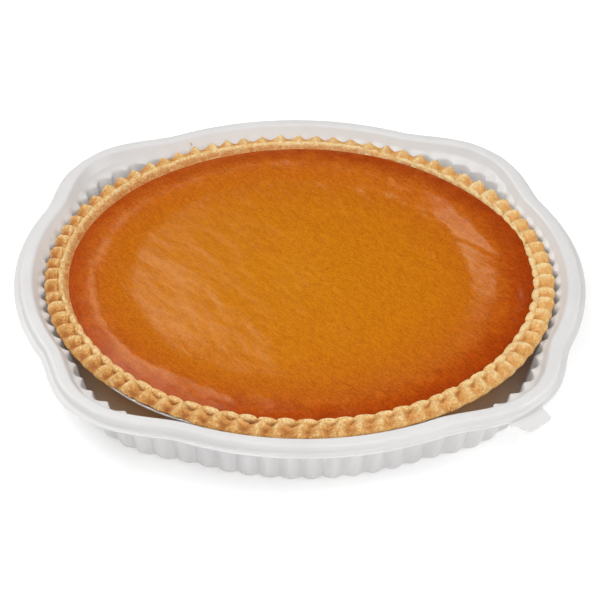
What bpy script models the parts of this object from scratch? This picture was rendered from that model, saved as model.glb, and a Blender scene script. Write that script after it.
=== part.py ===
"""Pumpkin pie with a rope-edged crust, in a foil tin that stands in a lobed, fluted tray.

Units are millimetres in the constants and functions, and metres in the meshes.
The origin is the middle of the tray's underside; +Z is up and -Y is the front.
"""
import math
from collections import namedtuple

import bmesh
import bpy

MM = 0.001
GAP = 0.3

# Tray: a thin formed sheet with four wide sides and four corner lobes.
Outline = namedtuple("Outline", "side lobe blend_start blend_end")
TRAY_HEIGHT = 41.1
TRAY_SHEET = 1.0
RIM_EDGE = Outline(side=160.6, lobe=13.0, blend_start=25.3, blend_end=43.5)
RIM_WIDTH = 7.0
RISER_SLOPE = 0.4
LIP_WIDTH = 3.5
LIP_DROP = 4.9
LEDGE_INSET = 3.5
LEDGE_DROP = 5.8
FLUTE_COUNT = 76
FLUTE_TOP = Outline(side=151.9, lobe=10.0, blend_start=24.7, blend_end=42.2)
FLUTE_TOP_DEPTH = 3.6
FLUTE_TOP_DROP = 7.7
FLUTE_FOOT = Outline(side=144.5, lobe=8.3, blend_start=24.7, blend_end=42.2)
FLUTE_FOOT_DEPTH = 2.4
TAB_START = -52.2
TAB_END = -44.9
TAB_REACH = 10.0
TAB_DROOP = 1.0
TAB_TAPER = 0.84
TAB_CORNER = 2.5

# Tin: a round foil pan whose rolled rim carries the crust's edge.
TIN_SHEET = 0.5
TIN_BASE_RADIUS = 122.0
TIN_SHOULDER_RADIUS = 144.0
TIN_RIM_RADIUS = 151.3
TIN_RIM_TOP = 34.4
TIN_BEAD = 1.2

# Crust: a pastry shell that ends in a rope of slanting twists.
CRUST_BASE = 4.0
TWIST_COUNT = 80
ROPE_TIP_RADIUS = 152.2
ROPE_TIP_HEIGHT = 36.3
ROPE_SHOULDER_RADIUS = 149.3
ROPE_SHOULDER_HEIGHT = 39.2
ROPE_CREST_RADIUS = 144.3
ROPE_CREST_HEIGHT = 40.1
ROPE_LOBE_RADIUS = 141.2
ROPE_LOBE_HEIGHT = 38.4
TWIST_REACH = 1.6
TWIST_HEIGHT = 0.9
TWIST_LEAN = 1.6

# Filling: custard baked level inside the shell, a little higher where it meets the crust.
FILLING_RADIUS = 137.6
FILLING_TOP = 35.2
FILLING_RISE = 0.4
FILLING_RISE_WIDTH = 7.0

FLUTE_RING = 4 * FLUTE_COUNT
SMOOTH_RING = 2 * FLUTE_COUNT
TWIST_RING = 3 * TWIST_COUNT
ROUND_RING = TWIST_COUNT


def clear_scene():
    for item in list(bpy.data.objects):
        bpy.data.objects.remove(item, do_unlink=True)


def make_material(name, color, roughness, metallic=0.0):
    material = bpy.data.materials.new(name)
    material.use_nodes = True
    shader = material.node_tree.nodes["Principled BSDF"]
    shader.inputs["Base Color"].default_value = (*color, 1.0)
    shader.inputs["Roughness"].default_value = roughness
    shader.inputs["Metallic"].default_value = metallic
    return material


def polar(radius, angle, height):
    return (radius * math.cos(angle) * MM, radius * math.sin(angle) * MM, height * MM)


def outline_radius(outline, angle):
    """Radius of a lobed outline: level along each side, then a smooth step up to the corner."""
    turn = abs((math.degrees(angle) + 45.0) % 90.0 - 45.0)
    step = (turn - outline.blend_start) / (outline.blend_end - outline.blend_start)
    step = min(max(step, 0.0), 1.0)
    return outline.side + outline.lobe * step * step * (3.0 - 2.0 * step)


def at_outline(outline, offset, height):
    """Points that lie offset from the outline, measured square to it, at one height."""
    def place(angle):
        delta = 0.001
        radius = outline_radius(outline, angle)
        rise = outline_radius(outline, angle + delta) - outline_radius(outline, angle - delta)
        lean = math.atan2(rise / (2.0 * delta), radius)
        x, y, z = polar(radius, angle, height)
        return (x + offset * MM * math.cos(angle - lean), y + offset * MM * math.sin(angle - lean), z)
    return place


def at_flutes(outline, depth, offset, height):
    """Points on a ring of round outward flutes with a narrow tooth between each two."""
    def place(angle):
        bulge = depth * abs(math.cos(0.5 * FLUTE_COUNT * angle))
        return polar(outline_radius(outline, angle) + bulge + offset, angle, height)
    return place


def at_circle(radius, height):
    def place(angle):
        return polar(radius, angle, height)
    return place


def at_twists(radius, height, reach, rise, lean):
    """Points across the rope: each twist swells out and up, and leans round the pie."""
    def place(angle):
        swell = abs(math.cos(0.5 * (TWIST_COUNT * angle + math.pi)))
        return polar(radius + reach * swell, angle + math.radians(lean), height + rise * swell)
    return place


def add_ring(bm, count, place):
    """Add a closed ring of points given by place(angle) and return its edges."""
    start = len(bm.edges)
    for vert in bmesh.ops.create_circle(bm, segments=count, radius=1.0)["verts"]:
        vert.co = place(math.atan2(vert.co.y, vert.co.x))
    bm.edges.ensure_lookup_table()
    return bm.edges[start:]


def loft(bm, rings):
    """Join the rings in order with bands of faces and close the first and the last ring."""
    edges = [add_ring(bm, count, place) for count, place in rings]
    for lower, upper in zip(edges, edges[1:]):
        bmesh.ops.bridge_loops(bm, edges=lower + upper)
    for end in (edges[0], edges[-1]):
        bmesh.ops.contextual_create(bm, geom=end)
    bmesh.ops.triangulate(bm, faces=bm.faces[:])
    bmesh.ops.recalc_face_normals(bm, faces=bm.faces[:])


def make_object(name, bm, material, smooth_angle=30.0):
    mesh = bpy.data.meshes.new(name)
    bm.to_mesh(mesh)
    bm.free()
    mesh.shade_smooth()
    mesh.set_sharp_from_angle(angle=math.radians(smooth_angle))
    mesh.materials.append(material)
    item = bpy.data.objects.new(name, mesh)
    bpy.context.scene.collection.objects.link(item)
    return item


def tray_rings():
    """Tray section from the inner floor up over the rim and back to the underside."""
    top = TRAY_HEIGHT
    ledge_slope = LEDGE_INSET / LEDGE_DROP
    wall_width = TRAY_SHEET / math.cos(math.atan(ledge_slope))
    under_inner = wall_width - ledge_slope * TRAY_SHEET
    lip_edge = RIM_WIDTH + RISER_SLOPE + LIP_WIDTH
    ledge_under = -LEDGE_INSET + under_inner
    smooth = SMOOTH_RING
    return [
        (FLUTE_RING, at_flutes(FLUTE_FOOT, FLUTE_FOOT_DEPTH, 0.0, TRAY_SHEET)),
        (FLUTE_RING, at_flutes(FLUTE_TOP, FLUTE_TOP_DEPTH, 0.0, top - FLUTE_TOP_DROP)),
        (smooth, at_outline(RIM_EDGE, -LEDGE_INSET, top - LEDGE_DROP)),
        (smooth, at_outline(RIM_EDGE, 0.0, top)),
        (smooth, at_outline(RIM_EDGE, RIM_WIDTH, top)),
        (smooth, at_outline(RIM_EDGE, RIM_WIDTH + RISER_SLOPE, top - LIP_DROP)),
        (smooth, at_outline(RIM_EDGE, lip_edge, top - LIP_DROP)),
        (smooth, at_outline(RIM_EDGE, lip_edge, top - LIP_DROP - TRAY_SHEET)),
        (smooth, at_outline(RIM_EDGE, RIM_WIDTH - 0.6 * TRAY_SHEET, top - LIP_DROP - TRAY_SHEET)),
        (smooth, at_outline(RIM_EDGE, RIM_WIDTH - TRAY_SHEET, top - TRAY_SHEET)),
        (smooth, at_outline(RIM_EDGE, under_inner, top - TRAY_SHEET)),
        (smooth, at_outline(RIM_EDGE, ledge_under, top - LEDGE_DROP - TRAY_SHEET)),
        (FLUTE_RING, at_flutes(FLUTE_TOP, FLUTE_TOP_DEPTH, TRAY_SHEET, top - FLUTE_TOP_DROP - TRAY_SHEET)),
        (FLUTE_RING, at_flutes(FLUTE_FOOT, FLUTE_FOOT_DEPTH, TRAY_SHEET, 0.0)),
    ]


def add_tab(bm):
    """Pull the finger tab out of the lip's cut edge, narrow it, droop it and round its corners."""
    lip_height = (TRAY_HEIGHT - LIP_DROP - 0.5 * TRAY_SHEET) * MM
    lip_radius = (RIM_EDGE.side + RIM_EDGE.lobe + RIM_WIDTH) * MM
    edge_faces = []
    for face in bm.faces:
        middle = face.calc_center_median()
        angle = math.degrees(math.atan2(middle.y, middle.x))
        on_lip = abs(middle.z - lip_height) < 0.4 * TRAY_SHEET * MM and abs(face.normal.z) < 0.1
        if on_lip and TAB_START < angle < TAB_END and middle.to_2d().length > lip_radius:
            edge_faces.append(face)
    grown = bmesh.ops.extrude_face_region(bm, geom=edge_faces)["geom"]
    bmesh.ops.delete(bm, geom=edge_faces, context="FACES")
    tip = [item for item in grown if isinstance(item, bmesh.types.BMVert)]
    middle_angle = math.radians(0.5 * (TAB_START + TAB_END))
    out_x, out_y = math.cos(middle_angle), math.sin(middle_angle)
    reach = max(vert.co.x * out_x + vert.co.y * out_y for vert in tip) + TAB_REACH * MM
    for vert in tip:
        across = (vert.co.y * out_x - vert.co.x * out_y) * TAB_TAPER
        vert.co.x = reach * out_x - across * out_y
        vert.co.y = reach * out_y + across * out_x
        vert.co.z -= TAB_DROOP * MM
    corners = [edge for edge in bm.edges if is_tab_corner(edge, tip)]
    bmesh.ops.bevel(bm, geom=corners, offset=TAB_CORNER * MM, segments=3, profile=0.5,
                    affect="EDGES", material=-1)


def is_tab_corner(edge, tip):
    """True for the two upright edges at the ends of the tab's tip."""
    upright = abs(edge.verts[0].co.z - edge.verts[1].co.z) > 0.9 * TRAY_SHEET * MM
    straight_down = (edge.verts[0].co - edge.verts[1].co).to_2d().length < 0.1 * MM
    on_tip = edge.verts[0] in tip and edge.verts[1] in tip
    return upright and straight_down and on_tip and edge.calc_face_angle(0.0) > math.radians(45.0)


def make_tray():
    bm = bmesh.new()
    loft(bm, tray_rings())
    add_tab(bm)
    material = make_material("white_tray_plastic", (0.76, 0.75, 0.74), 0.45)
    return make_object("tray", bm, material)


def make_tin():
    """Foil pan: base, sloping wall, and a flange that thickens to a rolled bead at its edge."""
    base = TRAY_SHEET + GAP
    flange_under = TIN_RIM_TOP - TIN_SHEET
    bead_inner = TIN_RIM_RADIUS - TIN_BEAD
    run = TIN_SHOULDER_RADIUS - TIN_BASE_RADIUS
    sheet_width = TIN_SHEET / math.cos(math.atan(run / (TIN_RIM_TOP - base)))
    rings = [
        (TIN_BASE_RADIUS, base),
        (TIN_SHOULDER_RADIUS, flange_under),
        (bead_inner, TIN_RIM_TOP - TIN_BEAD),
        (TIN_RIM_RADIUS, TIN_RIM_TOP - TIN_BEAD),
        (TIN_RIM_RADIUS, TIN_RIM_TOP),
        (TIN_SHOULDER_RADIUS - sheet_width, TIN_RIM_TOP),
        (TIN_BASE_RADIUS - sheet_width, base + TIN_SHEET),
    ]
    bm = bmesh.new()
    loft(bm, [(ROUND_RING, at_circle(radius, height)) for radius, height in rings])
    material = make_material("aluminium_foil", (0.78, 0.78, 0.79), 0.30, metallic=1.0)
    return make_object("tin", bm, material)


def shell_bottom():
    """Height of the crust's underside and the slope of its wall, set by the tin."""
    bottom = TRAY_SHEET + GAP + TIN_SHEET + GAP
    slope = (TIN_SHOULDER_RADIUS - TIN_BASE_RADIUS) / (TIN_RIM_TOP - TRAY_SHEET - GAP)
    return bottom, slope


def make_crust():
    """Pastry shell: underside in the tin, rope over the tin's rim, inner wall and floor."""
    bottom, slope = shell_bottom()
    flange = TIN_RIM_TOP + GAP
    side_gap = (TIN_SHEET + GAP) / math.cos(math.atan(slope))
    foot = TIN_BASE_RADIUS - side_gap + slope * GAP
    floor = bottom + CRUST_BASE
    inner_foot = FILLING_RADIUS + GAP - slope * (FILLING_TOP - floor)
    lean = TWIST_LEAN
    bm = bmesh.new()
    loft(bm, [
        (ROUND_RING, at_circle(foot, bottom)),
        (ROUND_RING, at_circle(foot + slope * (flange - bottom), flange)),
        (ROUND_RING, at_circle(ROPE_TIP_RADIUS - 0.5, flange)),
        (TWIST_RING, at_twists(ROPE_TIP_RADIUS, ROPE_TIP_HEIGHT, TWIST_REACH, TWIST_HEIGHT, 0.0)),
        (TWIST_RING, at_twists(ROPE_SHOULDER_RADIUS, ROPE_SHOULDER_HEIGHT, 0.0, TWIST_HEIGHT, 0.3 * lean)),
        (TWIST_RING, at_twists(ROPE_CREST_RADIUS, ROPE_CREST_HEIGHT, 0.0, TWIST_HEIGHT, 0.7 * lean)),
        (TWIST_RING, at_twists(ROPE_LOBE_RADIUS, ROPE_LOBE_HEIGHT, -TWIST_REACH, TWIST_HEIGHT, lean)),
        (ROUND_RING, at_circle(FILLING_RADIUS + GAP, FILLING_TOP)),
        (ROUND_RING, at_circle(inner_foot, floor)),
    ])
    material = make_material("baked_pastry", (0.72, 0.44, 0.20), 0.65)
    return make_object("crust", bm, material, smooth_angle=60.0)


def make_filling():
    """Custard: fills the shell from its floor, and rises a little at the crust."""
    bottom, slope = shell_bottom()
    floor = bottom + CRUST_BASE + GAP
    foot = FILLING_RADIUS - slope * (FILLING_TOP - floor)
    level_radius = FILLING_RADIUS - FILLING_RISE_WIDTH
    bm = bmesh.new()
    loft(bm, [
        (ROUND_RING, at_circle(foot, floor)),
        (ROUND_RING, at_circle(FILLING_RADIUS, FILLING_TOP)),
        (ROUND_RING, at_circle(FILLING_RADIUS - 0.5 * FILLING_RISE_WIDTH, FILLING_TOP + FILLING_RISE)),
        (ROUND_RING, at_circle(level_radius, FILLING_TOP)),
    ])
    material = make_material("pumpkin_custard", (0.55, 0.17, 0.02), 0.35)
    return make_object("filling", bm, material, smooth_angle=60.0)


def main():
    clear_scene()
    make_tray()
    make_tin()
    make_crust()
    make_filling()


main()
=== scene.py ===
# %% [markdown]
# # A pumpkin pie in its foil tin and tray
# The real object is four things nested in each other: a thin white tray, a foil tin, a pastry shell
# with a rope edge, and custard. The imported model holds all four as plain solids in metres. This
# lesson loads them as a fixed frame, then builds a finer skin for each one in the same place.

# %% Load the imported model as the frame
import math
import random
from collections import namedtuple

import bmesh
import bpy
from mathutils import Matrix, Vector, noise


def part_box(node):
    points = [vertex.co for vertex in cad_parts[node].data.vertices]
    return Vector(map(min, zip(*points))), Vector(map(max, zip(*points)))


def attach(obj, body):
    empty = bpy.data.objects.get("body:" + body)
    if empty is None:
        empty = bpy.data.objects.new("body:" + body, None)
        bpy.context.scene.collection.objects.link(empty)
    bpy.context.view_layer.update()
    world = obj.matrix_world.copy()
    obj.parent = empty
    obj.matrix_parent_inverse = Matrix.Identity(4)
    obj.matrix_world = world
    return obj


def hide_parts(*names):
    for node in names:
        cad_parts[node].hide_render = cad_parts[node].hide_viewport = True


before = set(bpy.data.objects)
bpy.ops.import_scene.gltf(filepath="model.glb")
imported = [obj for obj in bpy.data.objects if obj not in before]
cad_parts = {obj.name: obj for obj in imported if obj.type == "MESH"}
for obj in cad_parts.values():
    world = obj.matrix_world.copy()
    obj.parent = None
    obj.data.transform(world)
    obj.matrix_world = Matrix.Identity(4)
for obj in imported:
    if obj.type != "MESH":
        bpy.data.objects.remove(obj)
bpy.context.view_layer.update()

MM = 0.001
TRAY_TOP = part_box("tray")[1].z / MM
TIN_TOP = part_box("tin")[1].z / MM
TIN_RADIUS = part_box("tin")[1].x / MM
FILLING_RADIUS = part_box("filling")[1].x / MM
FILLING_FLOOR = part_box("filling")[0].z / MM
CRUST_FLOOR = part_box("crust")[0].z / MM
print("CAD nodes:", sorted(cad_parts), "tray top", round(TRAY_TOP, 1), "mm")

# %% [markdown]
# ## Camera
# A long lens stands a metre and a half away and looks down at 36 degrees, so the round pie shows as
# an even oval with little perspective.

# %% Camera
CAMERA_TARGET = Vector((-0.0016, -0.0314, TRAY_TOP * MM))
CAMERA_DISTANCE = 1.586
CAMERA_ELEVATION = math.radians(36.23)
CAMERA_TURN = math.radians(-3.26)
CAMERA_ROLL = math.radians(0.93)
CAMERA_LENS = 161.0


def make_camera():
    camera = bpy.data.objects.new("camera", bpy.data.cameras.new("camera"))
    bpy.context.scene.collection.objects.link(camera)
    camera.data.lens = CAMERA_LENS
    camera.data.clip_end = 50.0
    aim = Matrix.Rotation(CAMERA_TURN, 4, "Z") @ Matrix.Rotation(math.pi / 2 - CAMERA_ELEVATION, 4, "X")
    step_back = Matrix.Translation((0.0, 0.0, CAMERA_DISTANCE))
    roll = Matrix.Rotation(CAMERA_ROLL, 4, "Z")
    camera.matrix_world = Matrix.Translation(CAMERA_TARGET) @ aim @ step_back @ roll
    bpy.context.scene.camera = camera
    return camera


print("camera at", [round(value, 3) for value in make_camera().matrix_world.translation])

# %% [markdown]
# ## Studio light
# White plastic wants light from all round, and shiny custard wants darkness: a level wet surface shows
# the eye whatever stands behind it at the camera's own height. So the surround is nearly dark, and
# large softboxes light the pie from above, from the front and from both sides. Two narrow strips
# stand far behind, a little higher than the level custard can mirror. Only where the custard slopes
# does it flash there, which is what makes a wet surface look wet.

# %% Softboxes
Softbox = namedtuple("Softbox", "name place size power tint", defaults=("#ffffff",))
SURROUND_LIGHT = 0.06
SOFTBOXES = [
    Softbox("softbox_above", Vector((0.0, 0.0, 1.6)), (1.6, 1.4), 2.0),
    Softbox("softbox_above_front", Vector((0.0, -0.7, 1.4)), (1.6, 0.9), 9.5),
    Softbox("softbox_front", Vector((0.1, -1.35, 0.95)), (1.8, 0.8), 9.0),
    Softbox("softbox_right", Vector((1.4, -0.1, 0.8)), (0.6, 1.0), 9.0),
    Softbox("softbox_left", Vector((-1.4, -0.1, 0.8)), (0.6, 1.0), 2.5),
    Softbox("softbox_left_behind", Vector((-1.0, 0.9, 1.1)), (0.8, 0.5), 13.0),
    Softbox("strip_far_behind", Vector((-0.21, 2.22, 1.98)), (0.26, 0.60), 2.0, "#ffecc4"),
    Softbox("strip_far_left_behind", Vector((-0.545, 1.995, 2.172)), (0.26, 0.28), 1.15, "#fff0e0"),
]


def linear(hex_code):
    """Linear RGBA of an sRGB hex colour."""
    channels = [int(hex_code[i:i + 2], 16) / 255.0 for i in (1, 3, 5)]
    return [c / 12.92 if c <= 0.04045 else ((c + 0.055) / 1.055) ** 2.4 for c in channels] + [1.0]


def make_surround():
    world = bpy.data.worlds.new("dim_surround")
    world.use_nodes = True
    background = world.node_tree.nodes["Background"]
    background.inputs["Color"].default_value = (1.0, 1.0, 1.0, 1.0)
    background.inputs["Strength"].default_value = SURROUND_LIGHT
    bpy.context.scene.world = world


def make_softbox(box):
    lamp = bpy.data.lights.new(box.name, "AREA")
    lamp.shape = "RECTANGLE"
    lamp.size, lamp.size_y = box.size
    lamp.energy = box.power
    lamp.color = linear(box.tint)[:3]
    softbox = bpy.data.objects.new(box.name, lamp)
    bpy.context.scene.collection.objects.link(softbox)
    softbox.location = box.place
    softbox.rotation_euler = (-box.place).to_track_quat("-Z", "Y").to_euler()
    softbox.visible_camera = False
    print(box.name, box.power, "W")


bpy.context.scene.view_settings.view_transform = "Standard"
make_surround()
for box in SOFTBOXES:
    make_softbox(box)

# %% [markdown]
# ## Helpers for nodes
# One function adds a node: plain settings are attributes of the node, `inputs` holds numbers or the
# sockets that feed it, and `stops` holds the colours of a ramp. Colours are hex values throughout.

# %% Node helpers
def add_node(tree, kind, inputs=None, stops=None, **settings):
    """Add a node, set its attributes and ramp stops, and feed its inputs with values or sockets."""
    node = tree.nodes.new(kind)
    for name, value in settings.items():
        setattr(node, name, value)
    for name, value in (inputs or {}).items():
        if isinstance(value, bpy.types.NodeSocket):
            tree.links.new(value, node.inputs[name])
        else:
            node.inputs[name].default_value = value
    if stops:
        ends = node.color_ramp.elements
        for end, (position, hex_code) in zip((ends[0], ends[1]), (stops[0], stops[-1])):
            end.position, end.color = position, linear(hex_code)
        for position, hex_code in stops[1:-1]:
            ends.new(position).color = linear(hex_code)
    return node


def new_material(name):
    """A material whose tree holds only its output, with the object's own coordinates to hand."""
    material = bpy.data.materials.new(name)
    material.use_nodes = True
    tree = material.node_tree
    tree.nodes.clear()
    place = add_node(tree, "ShaderNodeTexCoord").outputs["Object"]
    return material, tree, place


def finish_material(tree, shader):
    output = add_node(tree, "ShaderNodeOutputMaterial")
    tree.links.new(shader.outputs["BSDF"], output.inputs["Surface"])


def per_metre(millimetres):
    """Scale of a noise or cell texture whose features are this many millimetres wide."""
    return 1.0 / (millimetres * MM)


# %% [markdown]
# ## Helpers for shape
# The tray and the crust follow one idea: a ring of points runs round the object, and a small function
# of the angle says where each point of it lies. The next ring is grown out of the last one with an
# edge extrude and then moved into place. A plain spin would be shorter, but it only makes round
# things, and here the outline is lobed, fluted or twisted. Each point keeps its own angle in a
# vertex layer, because a leaning twist moves it away from where it started.

# %% Ring helpers
def polar(radius, angle, height):
    return Vector((radius * math.cos(angle), radius * math.sin(angle), height)) * MM


def grow_ring(bm, ring):
    """Extrude a ring of edges and return the new ring's edges and points."""
    grown = bmesh.ops.extrude_edge_only(bm, edges=ring)["geom"]
    points = {item for item in grown if isinstance(item, bmesh.types.BMVert)}
    lines = [item for item in grown if isinstance(item, bmesh.types.BMEdge)]
    return [line for line in lines if points.issuperset(line.verts)], points


def loft(bm, count, rings):
    """Skin the rings in order, and close the first and last with a fan of faces."""
    turn = bm.verts.layers.float.new("turn")
    points = bmesh.ops.create_circle(bm, segments=count, radius=1.0)["verts"]
    for point in points:
        point[turn] = math.atan2(point.co.y, point.co.x)
    first = ring = bm.edges[:]
    for index, place in enumerate(rings):
        if index:
            ring, points = grow_ring(bm, ring)
        for point in points:
            point.co = place(point[turn])
    caps = [bmesh.ops.contextual_create(bm, geom=end)["faces"][0] for end in (first, ring)]
    bmesh.ops.poke(bm, faces=caps)
    bmesh.ops.remove_doubles(bm, verts=bm.verts, dist=0.001 * MM)
    bmesh.ops.recalc_face_normals(bm, faces=bm.faces)


def finish_piece(name, bm, material, node=None, smooth_angle=50.0):
    """Turn the bmesh into a smooth-shaded object that rides on the part's one body."""
    mesh = bpy.data.meshes.new(name)
    bm.to_mesh(mesh)
    bm.free()
    mesh.shade_smooth()
    mesh.set_sharp_from_angle(angle=math.radians(smooth_angle))
    mesh.materials.append(material)
    piece = bpy.data.objects.new(name, mesh)
    bpy.context.scene.collection.objects.link(piece)
    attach(piece, "root")
    if node:
        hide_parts(node)
    mesh.calc_loop_triangles()
    print(name, len(mesh.loop_triangles), "triangles")
    return piece


# %% [markdown]
# ## Tray: outline and section
# The real tray is one sheet of plastic, softened by heat and drawn over a mould, so every corner of
# its section is rounded. The outline has four wide sides and four corner lobes, joined by a smooth
# step. The section is a list of corners, each with its softness in millimetres, and each soft corner
# becomes a short curve of rings. This keeps the drawing readable: corners here, roundness there.

# %% Tray outline
Outline = namedtuple("Outline", "side lobe blend_start blend_end")
RIM_EDGE = Outline(side=160.6, lobe=13.0, blend_start=25.3, blend_end=43.5)
FLUTE_TOP = Outline(side=151.9, lobe=10.0, blend_start=24.7, blend_end=42.2)
FLUTE_FOOT = Outline(side=144.5, lobe=8.3, blend_start=24.7, blend_end=42.2)
FLUTE_COUNT = 76
FLUTE_TOOTH_ROUNDING = 0.10


def outline_radius(outline, angle):
    """Level along each side, then a smooth step up to the corner lobe."""
    turn = abs((math.degrees(angle) + 45.0) % 90.0 - 45.0)
    step = (turn - outline.blend_start) / (outline.blend_end - outline.blend_start)
    step = min(max(step, 0.0), 1.0)
    return outline.side + outline.lobe * step * step * (3.0 - 2.0 * step)


def at_outline(outline, offset, height):
    """Points that lie offset from the outline, measured square to it."""
    def place(angle):
        delta = 0.001
        rise = outline_radius(outline, angle + delta) - outline_radius(outline, angle - delta)
        lean = math.atan2(rise / (2.0 * delta), outline_radius(outline, angle))
        return polar(outline_radius(outline, angle), angle, height) + polar(offset, angle - lean, 0.0)
    return place


def at_flutes(outline, depth, offset, height):
    """Points on a ring of round outward flutes with a narrow soft tooth between each two."""
    def place(angle):
        wave = math.cos(0.5 * FLUTE_COUNT * angle)
        soft = FLUTE_TOOTH_ROUNDING
        bulge = (math.hypot(wave, soft) - soft) / (math.hypot(1.0, soft) - soft)
        return polar(outline_radius(outline, angle) + depth * bulge + offset, angle, height)
    return place


print("tray lobes reach", RIM_EDGE.side + RIM_EDGE.lobe, "mm at the rim's inner edge")

# %% Tray section
SHEET = 1.0
RIM_WIDTH = 7.0
RISER_FOOT = 7.6
LIP_EDGE = 10.9
LIP_TOP = TRAY_TOP - 4.9
LEDGE_TOP = TRAY_TOP - 5.8
FLUTE_TOP_HEIGHT = TRAY_TOP - 7.7


def round_corner(before, corner, after, softness, share):
    """One ring of the short curve that replaces a sharp corner."""
    def place(angle):
        middle = corner(angle)
        start = middle + (before(angle) - middle).normalized() * softness * MM
        end = middle + (after(angle) - middle).normalized() * softness * MM
        return start.lerp(middle, share).lerp(middle.lerp(end, share), share)
    return place


def soften(corners, steps):
    """Rings along a section whose corners are (place, softness) pairs."""
    rings = [corners[0][0]]
    for (before, _), (corner, softness), (after, _) in zip(corners, corners[1:], corners[2:]):
        shares = [step / steps for step in range(steps + 1)]
        rings += [round_corner(before, corner, after, softness, share) for share in shares]
    return rings + [corners[-1][0]]


def at_circle(radius, height):
    def place(angle):
        return polar(radius, angle, height)
    return place


def tray_section():
    """Corners from the inner floor, up over the rim, down the lip and back under to the base."""
    return [
        (at_circle(100.0, SHEET), 0.0),
        (at_flutes(FLUTE_FOOT, 2.4, 0.0, SHEET), 2.2),
        (at_flutes(FLUTE_TOP, 3.6, 0.0, FLUTE_TOP_HEIGHT), 1.1),
        (at_outline(RIM_EDGE, -3.5, LEDGE_TOP), 1.0),
        (at_outline(RIM_EDGE, 0.0, TRAY_TOP), 1.5),
        (at_outline(RIM_EDGE, RIM_WIDTH, TRAY_TOP), 1.7),
        (at_outline(RIM_EDGE, RISER_FOOT, LIP_TOP), 1.2),
        (at_outline(RIM_EDGE, LIP_EDGE, LIP_TOP), 0.45),
        (at_outline(RIM_EDGE, LIP_EDGE, LIP_TOP - SHEET), 0.3),
        (at_outline(RIM_EDGE, RISER_FOOT - SHEET, LIP_TOP - SHEET), 0.5),
        (at_outline(RIM_EDGE, RIM_WIDTH - SHEET, TRAY_TOP - SHEET), 1.2),
        (at_outline(RIM_EDGE, 0.6, TRAY_TOP - SHEET), 1.0),
        (at_outline(RIM_EDGE, -2.9, LEDGE_TOP - SHEET), 0.7),
        (at_flutes(FLUTE_TOP, 3.6, SHEET, FLUTE_TOP_HEIGHT - SHEET), 1.4),
        (at_flutes(FLUTE_FOOT, 2.4, SHEET, 0.0), 2.6),
        (at_circle(100.0, 0.0), 0.0),
    ]


print("tray section has", len(tray_section()), "corners")

# %% [markdown]
# The finger tab is cut from the same sheet. It is a small grid, pulled into a trapezoid that flares
# where it leaves the lip and has round corners at its tip, and given the sheet's thickness. Its root
# is tucked into the lip, so the two read as one moulding.

# %% Tray with its finger tab
TAB_MIDDLE = math.radians(-48.6)
TAB_ROOT_HALF = 11.4
TAB_TIP_HALF = 9.4
TAB_REACH = 10.4
TAB_FLARE = 2.0
TAB_CORNER = 2.8
TAB_TUCK = 1.5
TAB_DROOP = 1.0
TAB_SHEET = 0.8
TRAY_RING = 12 * FLUTE_COUNT


def tab_half_width(out):
    """Half the tab's width at a distance out from the lip's edge."""
    half = TAB_ROOT_HALF + (TAB_TIP_HALF - TAB_ROOT_HALF) * out / TAB_REACH
    half += TAB_FLARE * max(0.0, 1.0 - out / TAB_FLARE) ** 2
    past = max(0.0, out - (TAB_REACH - TAB_CORNER))
    return half - TAB_CORNER + math.sqrt(max(0.0, TAB_CORNER ** 2 - past ** 2))


def add_tab(bm):
    grid = bmesh.ops.create_grid(bm, x_segments=24, y_segments=24, size=1.0)["verts"]
    faces = {face for vert in grid for face in vert.link_faces}
    root = outline_radius(RIM_EDGE, TAB_MIDDLE) + LIP_EDGE
    outward = Vector((math.cos(TAB_MIDDLE), math.sin(TAB_MIDDLE), 0.0))
    sideways = Vector((-outward.y, outward.x, 0.0))
    for vert in grid:
        share = math.sin(0.25 * math.pi * (vert.co.y + 1.0))
        out = (TAB_REACH + TAB_TUCK) * share - TAB_TUCK
        across = tab_half_width(max(out, 0.0)) * vert.co.x
        height = LIP_TOP - 0.95 - TAB_DROOP * (max(out, 0.0) / TAB_REACH) ** 2
        sag = across * across / (2.0 * root)
        vert.co = (outward * (root + out - sag * (1.0 - share)) + sideways * across) * MM
        vert.co.z = height * MM
    bmesh.ops.recalc_face_normals(bm, faces=list(faces))
    if sum(face.normal.z for face in faces) < 0.0:
        bmesh.ops.reverse_faces(bm, faces=list(faces))
    bmesh.ops.solidify(bm, geom=list(faces), thickness=-TAB_SHEET * MM)


def make_tray(material):
    bm = bmesh.new()
    loft(bm, TRAY_RING, soften(tray_section(), 4))
    add_tab(bm)
    return finish_piece("tray_shell", bm, material, "tray")


# %% [markdown]
# ## Tray: white thermoformed plastic
# The sheet is an opaque white food plastic. Drawing it over the mould leaves a satin skin with a very
# faint orange-peel, so highlights along the soft edges are broad and blurred, never sharp. Low down on
# the inside, strongest close to the tin, a tan colour is painted in as warm light bounced off the crust.

# %% Tray material
PEEL_MM = 2.5
HAZE_MM = 40.0
# Where the painted warm bounce sits: a radius range near the tin and a top height, inside only
WARM_BOUNCE_FROM = 126.0 * MM
WARM_BOUNCE_TO = 156.0 * MM
WARM_BOUNCE_TOP = 26.0 * MM


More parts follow.
